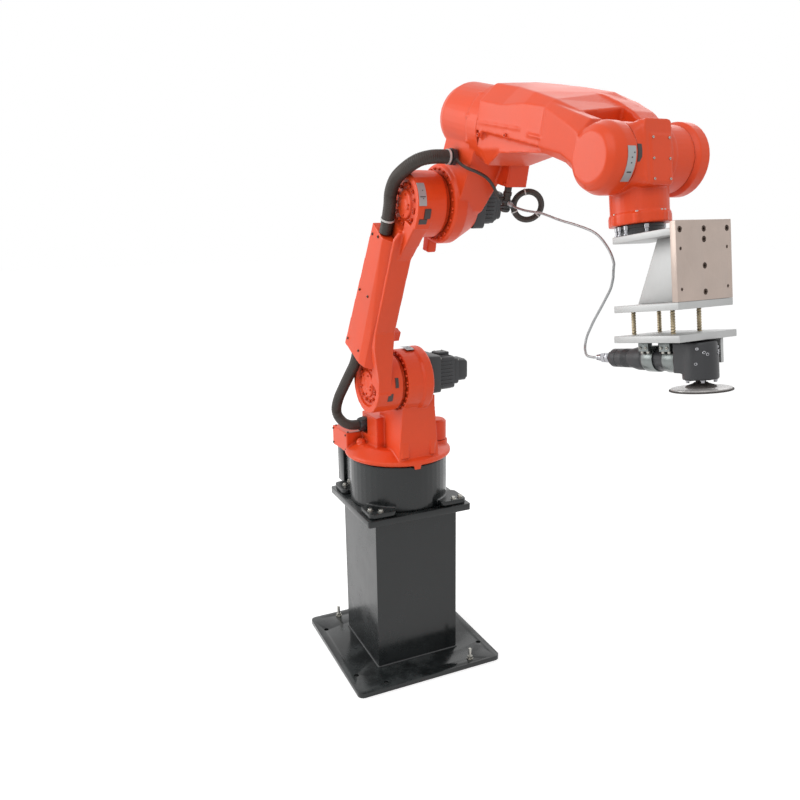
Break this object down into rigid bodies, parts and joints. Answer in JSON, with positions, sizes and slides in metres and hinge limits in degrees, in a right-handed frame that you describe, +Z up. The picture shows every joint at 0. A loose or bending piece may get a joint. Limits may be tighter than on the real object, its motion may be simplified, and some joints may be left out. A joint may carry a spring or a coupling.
{
  "type": "industrial robot arm",
  "caption": "Six-axis industrial robot arm on a square steel pedestal, with a bracket, spacer rods and an angle grinder on its flange.",
  "frame": {"origin": "middle of the base plate underside, on the floor, below the first joint axis", "axes": "+Z up; +X out of the pedestal side that the arm reaches over; +Y towards the side that the shoulder motor stands on"},
  "size_m": [1.789, 0.6, 2.0921],
  "materials": {
    "black_paint": "gloss enamel",
    "orange_paint": "semi-gloss robot enamel",
    "motor_black": "satin black",
    "aluminium": "machined",
    "bright_steel": "plated",
    "yellow_zinc": "yellow zinc plated thread",
    "black_rubber": "ribbed",
    "braided_hose": "woven braid",
    "sanding_grit": "grit"
  },
  "bodies": {
    "pedestal": {"base_plate": "black_paint", "pedestal_front_wall": "black_paint", "pedestal_rear_wall": "black_paint", "pedestal_left_wall": "black_paint", "pedestal_right_wall": "black_paint", "pedestal_top_plate": "black_paint", "robot_base": "black_paint", "connector_box": "black_paint", "supply_connector": "motor_black", "signal_connector": "motor_black"},
    "turntable": {"turntable": "orange_paint", "conduit_gland": "motor_black", "turn_motor_cover": "orange_paint", "shoulder_motor": "motor_black", "shoulder_motor_cap": "motor_black", "lower_conduit": "black_rubber"},
    "lower_arm": {"lower_arm": "orange_paint", "lower_arm_cover": "orange_paint", "stop_lug": "orange_paint", "upper_conduit": "black_rubber"},
    "elbow": {"elbow_housing": "orange_paint", "elbow_motor": "motor_black", "elbow_motor_cap": "motor_black", "elbow_gland": "motor_black", "cable_sleeve": "black_rubber", "cable_loop": "black_rubber", "thin_cable": "black_rubber", "hose_coupling": "bright_steel", "hose_elbow_run": "braided_hose"},
    "forearm": {"forearm": "orange_paint", "hose_free_run": "braided_hose"},
    "wrist": {"wrist_body": "orange_paint", "flange_motor_cover": "orange_paint", "hose_wrist_run": "braided_hose"},
    "tool": {"tool_flange": "motor_black", "bracket_top_plate": "aluminium", "bracket_front_plate": "aluminium", "bracket_gusset": "aluminium", "middle_plate": "aluminium", "spacer_rod_1": "yellow_zinc", "spacer_rod_2": "yellow_zinc", "spacer_rod_3": "yellow_zinc", "spacer_rod_4": "yellow_zinc", "lower_plate": "aluminium", "grinder_body": "motor_black", "grinder_head": "motor_black", "clamp_ring_1": "bright_steel", "clamp_ring_2": "bright_steel", "grinder_side_plate": "aluminium", "hose_fitting": "bright_steel"},
    "disc": {"sanding_disc": "sanding_grit"}
  },
  "joints": [
    {"name": "base_turn", "type": "hinge", "parent": "pedestal", "child": "turntable", "pos_m": [0, 0, 0], "axis": [0, 0, 1], "range_deg": [-170, 160]},
    {"name": "lower_arm_swing", "type": "hinge", "parent": "turntable", "child": "lower_arm", "pos_m": [0.14974, 0.0089, 1.148], "axis": [-0.0593, 0.9982, 0], "range_deg": [-60, 40], "deforming": ["lower_conduit"]},
    {"name": "elbow_swing", "type": "hinge", "parent": "lower_arm", "child": "elbow", "pos_m": [0.44828, 0.02663, 1.75313], "axis": [0.0593, -0.9982, 0], "range_deg": [-60, 70], "deforming": ["upper_conduit"]},
    {"name": "forearm_roll", "type": "hinge", "parent": "elbow", "child": "forearm", "pos_m": [0.50871, 0.03022, 1.99775], "axis": [0.969, 0.0576, -0.2402], "range_deg": [-180, 180], "deforming": ["hose_elbow_run"]},
    {"name": "wrist_bend", "type": "hinge", "parent": "forearm", "child": "wrist", "pos_m": [1.18508, 0.07041, 1.83007], "axis": [0.0593, -0.9982, 0], "range_deg": [-25, 140], "deforming": ["hose_free_run"]},
    {"name": "flange_roll", "type": "hinge", "parent": "wrist", "child": "tool", "pos_m": [1.20814, 0.07178, 1.66569], "axis": [0.1389, 0.0083, -0.9903], "range_deg": [-180, 180], "deforming": ["hose_wrist_run"]},
    {"name": "disc_spin", "type": "hinge", "parent": "tool", "child": "disc", "pos_m": [1.4023, 0.08331, 1.37391], "axis": [0.1389, 0.0083, -0.9903], "continuous": true}
  ]
}
